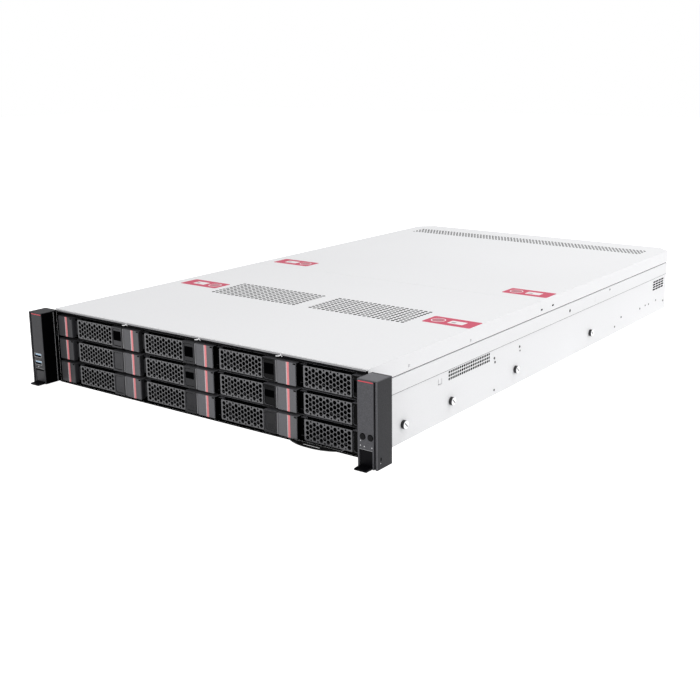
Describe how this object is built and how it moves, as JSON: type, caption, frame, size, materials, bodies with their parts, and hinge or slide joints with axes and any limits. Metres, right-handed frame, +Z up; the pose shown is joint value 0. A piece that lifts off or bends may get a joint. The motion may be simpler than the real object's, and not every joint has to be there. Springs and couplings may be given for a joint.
{
  "type": "rack server",
  "caption": "Rack-mounted server: sheet-metal chassis with pull-out hexagon-grille drive carriers, rack ears, vented two-part cover, fans and pull-out power supplies.",
  "frame": {"origin": "centre of the chassis floor's underside", "axes": "+X to the right seen from the front, +Y from the drive fronts to the rear, +Z up"},
  "size_m": [0.4826, 0.7955, 0.086],
  "materials": {
    "shell": "matte galvanised grey",
    "cover": "matte light grey",
    "cage_metal": "dull",
    "carrier": "satin dark grey",
    "grille": "satin dark grey",
    "tab": "matte",
    "ear": "matte",
    "latch": "matte",
    "button": "smooth",
    "info": "matte",
    "stud": "satin",
    "board": "matte",
    "fan": "matte",
    "sink": "bare",
    "supply": "matte"
  },
  "bodies": {
    "chassis": {"backplane": "board", "chassis_floor": "shell", "drive_cage": "cage_metal", "ear_left": "ear", "ear_right": "ear", "fan_frames": "fan", "front_cover": "cover", "heat_sinks": "sink", "mainboard": "board", "rail_studs": "stud", "rear_panel": "shell", "side_wall_left": "shell", "side_wall_right": "shell"},
    "carrier_11": {"drive_carrier_11": "carrier"},
    "handle_11": {"carrier_handle_11": "grille"},
    "release_11": {"release_tab_11": "tab"},
    "carrier_12": {"drive_carrier_12": "carrier"},
    "handle_12": {"carrier_handle_12": "grille"},
    "release_12": {"release_tab_12": "tab"},
    "carrier_13": {"drive_carrier_13": "carrier"},
    "handle_13": {"carrier_handle_13": "grille"},
    "release_13": {"release_tab_13": "tab"},
    "carrier_14": {"drive_carrier_14": "carrier"},
    "handle_14": {"carrier_handle_14": "grille"},
    "release_14": {"release_tab_14": "tab"},
    "carrier_21": {"drive_carrier_21": "carrier"},
    "handle_21": {"carrier_handle_21": "grille"},
    "release_21": {"release_tab_21": "tab"},
    "carrier_22": {"drive_carrier_22": "carrier"},
    "handle_22": {"carrier_handle_22": "grille"},
    "release_22": {"release_tab_22": "tab"},
    "carrier_23": {"drive_carrier_23": "carrier"},
    "handle_23": {"carrier_handle_23": "grille"},
    "release_23": {"release_tab_23": "tab"},
    "carrier_24": {"drive_carrier_24": "carrier"},
    "handle_24": {"carrier_handle_24": "grille"},
    "release_24": {"release_tab_24": "tab"},
    "carrier_31": {"drive_carrier_31": "carrier"},
    "handle_31": {"carrier_handle_31": "grille"},
    "release_31": {"release_tab_31": "tab"},
    "carrier_32": {"drive_carrier_32": "carrier"},
    "handle_32": {"carrier_handle_32": "grille"},
    "release_32": {"release_tab_32": "tab"},
    "carrier_33": {"drive_carrier_33": "carrier"},
    "handle_33": {"carrier_handle_33": "grille"},
    "release_33": {"release_tab_33": "tab"},
    "carrier_34": {"drive_carrier_34": "carrier"},
    "handle_34": {"carrier_handle_34": "grille"},
    "release_34": {"release_tab_34": "tab"},
    "rear_cover": {"rear_cover": "cover"},
    "power_supply_1": {"power_supply_1": "supply"},
    "power_supply_2": {"power_supply_2": "supply"},
    "fan_rotor_1": {"fan_rotor_1": "fan"},
    "fan_rotor_2": {"fan_rotor_2": "fan"},
    "fan_rotor_3": {"fan_rotor_3": "fan"},
    "rack_latch_left": {"rack_latch_left": "latch"},
    "rack_latch_right": {"rack_latch_right": "latch"},
    "power_button": {"power_button": "button"},
    "id_button": {"id_button": "button"},
    "info_tab": {"info_tab": "info"}
  },
  "joints": [
    {"name": "carrier_slide_11", "type": "slide", "parent": "chassis", "child": "carrier_11", "axis": [0, -1, 0], "range_m": [0, 0.18]},
    {"name": "handle_hinge_11", "type": "hinge", "parent": "carrier_11", "child": "handle_11", "pos_m": [-0.187, -0.3688, 0.0667], "axis": [0, 0, -1], "range_deg": [0, 50]},
    {"name": "release_press_11", "type": "slide", "parent": "carrier_11", "child": "release_11", "axis": [0, 1, 0], "range_m": [0, 0.0015], "stiffness_N_per_m": 300},
    {"name": "carrier_slide_12", "type": "slide", "parent": "chassis", "child": "carrier_12", "axis": [0, -1, 0], "range_m": [0, 0.18]},
    {"name": "handle_hinge_12", "type": "hinge", "parent": "carrier_12", "child": "handle_12", "pos_m": [-0.0788, -0.3688, 0.0667], "axis": [0, 0, -1], "range_deg": [0, 50]},
    {"name": "release_press_12", "type": "slide", "parent": "carrier_12", "child": "release_12", "axis": [0, 1, 0], "range_m": [0, 0.0015], "stiffness_N_per_m": 300},
    {"name": "carrier_slide_13", "type": "slide", "parent": "chassis", "child": "carrier_13", "axis": [0, -1, 0], "range_m": [0, 0.18]},
    {"name": "handle_hinge_13", "type": "hinge", "parent": "carrier_13", "child": "handle_13", "pos_m": [0.0294, -0.3688, 0.0667], "axis": [0, 0, -1], "range_deg": [0, 50]},
    {"name": "release_press_13", "type": "slide", "parent": "carrier_13", "child": "release_13", "axis": [0, 1, 0], "range_m": [0, 0.0015], "stiffness_N_per_m": 300},
    {"name": "carrier_slide_14", "type": "slide", "parent": "chassis", "child": "carrier_14", "axis": [0, -1, 0], "range_m": [0, 0.18]},
    {"name": "handle_hinge_14", "type": "hinge", "parent": "carrier_14", "child": "handle_14", "pos_m": [0.1376, -0.3688, 0.0667], "axis": [0, 0, -1], "range_deg": [0, 50]},
    {"name": "release_press_14", "type": "slide", "parent": "carrier_14", "child": "release_14", "axis": [0, 1, 0], "range_m": [0, 0.0015], "stiffness_N_per_m": 300},
    {"name": "carrier_slide_21", "type": "slide", "parent": "chassis", "child": "carrier_21", "axis": [0, -1, 0], "range_m": [0, 0.18]},
    {"name": "handle_hinge_21", "type": "hinge", "parent": "carrier_21", "child": "handle_21", "pos_m": [-0.187, -0.3688, 0.0402], "axis": [0, 0, -1], "range_deg": [0, 50]},
    {"name": "release_press_21", "type": "slide", "parent": "carrier_21", "child": "release_21", "axis": [0, 1, 0], "range_m": [0, 0.0015], "stiffness_N_per_m": 300},
    {"name": "carrier_slide_22", "type": "slide", "parent": "chassis", "child": "carrier_22", "axis": [0, -1, 0], "range_m": [0, 0.18]},
    {"name": "handle_hinge_22", "type": "hinge", "parent": "carrier_22", "child": "handle_22", "pos_m": [-0.0788, -0.3688, 0.0402], "axis": [0, 0, -1], "range_deg": [0, 50]},
    {"name": "release_press_22", "type": "slide", "parent": "carrier_22", "child": "release_22", "axis": [0, 1, 0], "range_m": [0, 0.0015], "stiffness_N_per_m": 300},
    {"name": "carrier_slide_23", "type": "slide", "parent": "chassis", "child": "carrier_23", "axis": [0, -1, 0], "range_m": [0, 0.18]},
    {"name": "handle_hinge_23", "type": "hinge", "parent": "carrier_23", "child": "handle_23", "pos_m": [0.0294, -0.3688, 0.0402], "axis": [0, 0, -1], "range_deg": [0, 50]},
    {"name": "release_press_23", "type": "slide", "parent": "carrier_23", "child": "release_23", "axis": [0, 1, 0], "range_m": [0, 0.0015], "stiffness_N_per_m": 300},
    {"name": "carrier_slide_24", "type": "slide", "parent": "chassis", "child": "carrier_24", "axis": [0, -1, 0], "range_m": [0, 0.18]},
    {"name": "handle_hinge_24", "type": "hinge", "parent": "carrier_24", "child": "handle_24", "pos_m": [0.1376, -0.3688, 0.0402], "axis": [0, 0, -1], "range_deg": [0, 50]},
    {"name": "release_press_24", "type": "slide", "parent": "carrier_24", "child": "release_24", "axis": [0, 1, 0], "range_m": [0, 0.0015], "stiffness_N_per_m": 300},
    {"name": "carrier_slide_31", "type": "slide", "parent": "chassis", "child": "carrier_31", "axis": [0, -1, 0], "range_m": [0, 0.18]},
    {"name": "handle_hinge_31", "type": "hinge", "parent": "carrier_31", "child": "handle_31", "pos_m": [-0.187, -0.3688, 0.0137], "axis": [0, 0, -1], "range_deg": [0, 50]},
    {"name": "release_press_31", "type": "slide", "parent": "carrier_31", "child": "release_31", "axis": [0, 1, 0], "range_m": [0, 0.0015], "stiffness_N_per_m": 300},
    {"name": "carrier_slide_32", "type": "slide", "parent": "chassis", "child": "carrier_32", "axis": [0, -1, 0], "range_m": [0, 0.18]},
    {"name": "handle_hinge_32", "type": "hinge", "parent": "carrier_32", "child": "handle_32", "pos_m": [-0.0788, -0.3688, 0.0137], "axis": [0, 0, -1], "range_deg": [0, 50]},
    {"name": "release_press_32", "type": "slide", "parent": "carrier_32", "child": "release_32", "axis": [0, 1, 0], "range_m": [0, 0.0015], "stiffness_N_per_m": 300},
    {"name": "carrier_slide_33", "type": "slide", "parent": "chassis", "child": "carrier_33", "axis": [0, -1, 0], "range_m": [0, 0.18]},
    {"name": "handle_hinge_33", "type": "hinge", "parent": "carrier_33", "child": "handle_33", "pos_m": [0.0294, -0.3688, 0.0137], "axis": [0, 0, -1], "range_deg": [0, 50]},
    {"name": "release_press_33", "type": "slide", "parent": "carrier_33", "child": "release_33", "axis": [0, 1, 0], "range_m": [0, 0.0015], "stiffness_N_per_m": 300},
    {"name": "carrier_slide_34", "type": "slide", "parent": "chassis", "child": "carrier_34", "axis": [0, -1, 0], "range_m": [0, 0.18]},
    {"name": "handle_hinge_34", "type": "hinge", "parent": "carrier_34", "child": "handle_34", "pos_m": [0.1376, -0.3688, 0.0137], "axis": [0, 0, -1], "range_deg": [0, 50]},
    {"name": "release_press_34", "type": "slide", "parent": "carrier_34", "child": "release_34", "axis": [0, 1, 0], "range_m": [0, 0.0015], "stiffness_N_per_m": 300},
    {"name": "rear_cover_slide", "type": "slide", "parent": "chassis", "child": "rear_cover", "axis": [0, 1, 0], "range_m": [0, 0.43]},
    {"name": "power_supply_slide_1", "type": "slide", "parent": "chassis", "child": "power_supply_1", "axis": [0, 1, 0], "range_m": [0, 0.2]},
    {"name": "power_supply_slide_2", "type": "slide", "parent": "chassis", "child": "power_supply_2", "axis": [0, 1, 0], "range_m": [0, 0.2]},
    {"name": "fan_spin_1", "type": "hinge", "parent": "chassis", "child": "fan_rotor_1", "pos_m": [-0.14, -0.125, 0.043], "axis": [0, -1, 0], "continuous": true},
    {"name": "fan_spin_2", "type": "hinge", "parent": "chassis", "child": "fan_rotor_2", "pos_m": [0, -0.125, 0.043], "axis": [0, -1, 0], "continuous": true},
    {"name": "fan_spin_3", "type": "hinge", "parent": "chassis", "child": "fan_rotor_3", "pos_m": [0.14, -0.125, 0.043], "axis": [0, -1, 0], "continuous": true},
    {"name": "rack_latch_hinge_left", "type": "hinge", "parent": "chassis", "child": "rack_latch_left", "pos_m": [-0.2288, -0.3913, 0.0156], "axis": [-1, 0, 0], "range_deg": [0, 40], "stiffness_Nm_per_rad": 0.05},
    {"name": "rack_latch_hinge_right", "type": "hinge", "parent": "chassis", "child": "rack_latch_right", "pos_m": [0.2288, -0.3913, 0.0156], "axis": [-1, 0, 0], "range_deg": [0, 40], "stiffness_Nm_per_rad": 0.05},
    {"name": "power_button_press", "type": "slide", "parent": "chassis", "child": "power_button", "axis": [0, 1, 0], "range_m": [0, 0.0012], "stiffness_N_per_m": 300},
    {"name": "id_button_press", "type": "slide", "parent": "chassis", "child": "id_button", "axis": [0, 1, 0], "range_m": [0, 0.0012], "stiffness_N_per_m": 300},
    {"name": "info_tab_slide", "type": "slide", "parent": "chassis", "child": "info_tab", "axis": [0, -1, 0], "range_m": [0, 0.055]}
  ]
}
